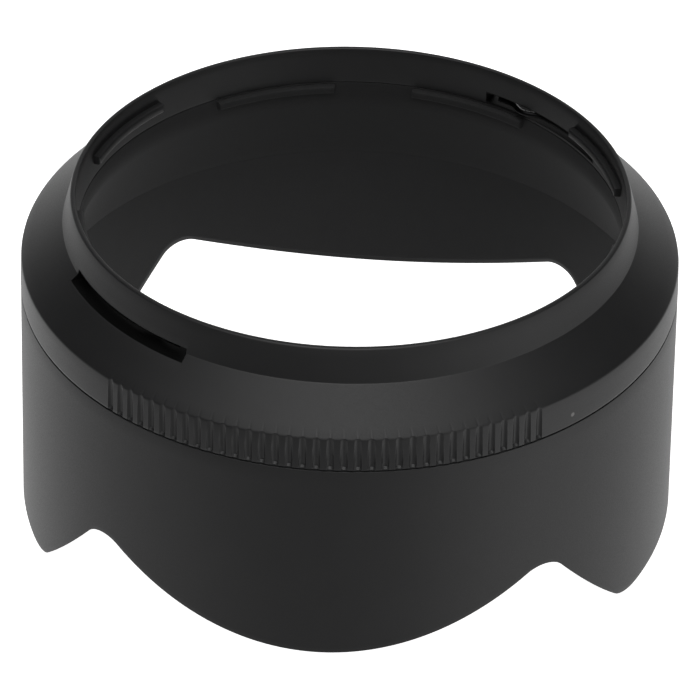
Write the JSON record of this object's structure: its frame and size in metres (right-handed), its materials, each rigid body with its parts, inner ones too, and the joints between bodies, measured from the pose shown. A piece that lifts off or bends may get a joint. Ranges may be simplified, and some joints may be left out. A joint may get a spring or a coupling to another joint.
{
  "type": "petal lens hood",
  "caption": "Petal lens hood: a flared shade with two long and two short petals under a grooved mount collar with a bayonet ring and click springs.",
  "frame": {"origin": "middle of the hood on the plane that its two long petals stand on", "axes": "+Z along the optical axis towards the lens end; +X through a long petal; -Y through the short petal that has a click-spring slot to its left"},
  "size_m": [0.0954, 0.0948, 0.0501],
  "materials": {
    "shade_plastic": "fine matte moulded black",
    "collar_plastic": "semi-matte moulded black",
    "ring_plastic": "smooth moulded black",
    "spring_steel": "black oxide",
    "black_flock": "short black flock"
  },
  "bodies": {
    "hood": {"petal_shade": "shade_plastic", "mount_collar": "collar_plastic", "bayonet_ring": "ring_plastic", "flock_lining": "black_flock"},
    "left_click": {"click_spring_left": "spring_steel"},
    "right_click": {"click_spring_right": "spring_steel"}
  },
  "joints": [
    {"name": "left_click_flex", "type": "hinge", "parent": "hood", "child": "left_click", "pos_m": [-0.03409, -0.01874, 0.04543], "axis": [0, 0, -1], "range_deg": [0, 2], "stiffness_Nm_per_rad": 0.2},
    {"name": "right_click_flex", "type": "hinge", "parent": "hood", "child": "right_click", "pos_m": [0.03409, 0.01874, 0.04543], "axis": [0, 0, -1], "range_deg": [0, 2], "stiffness_Nm_per_rad": 0.2}
  ]
}
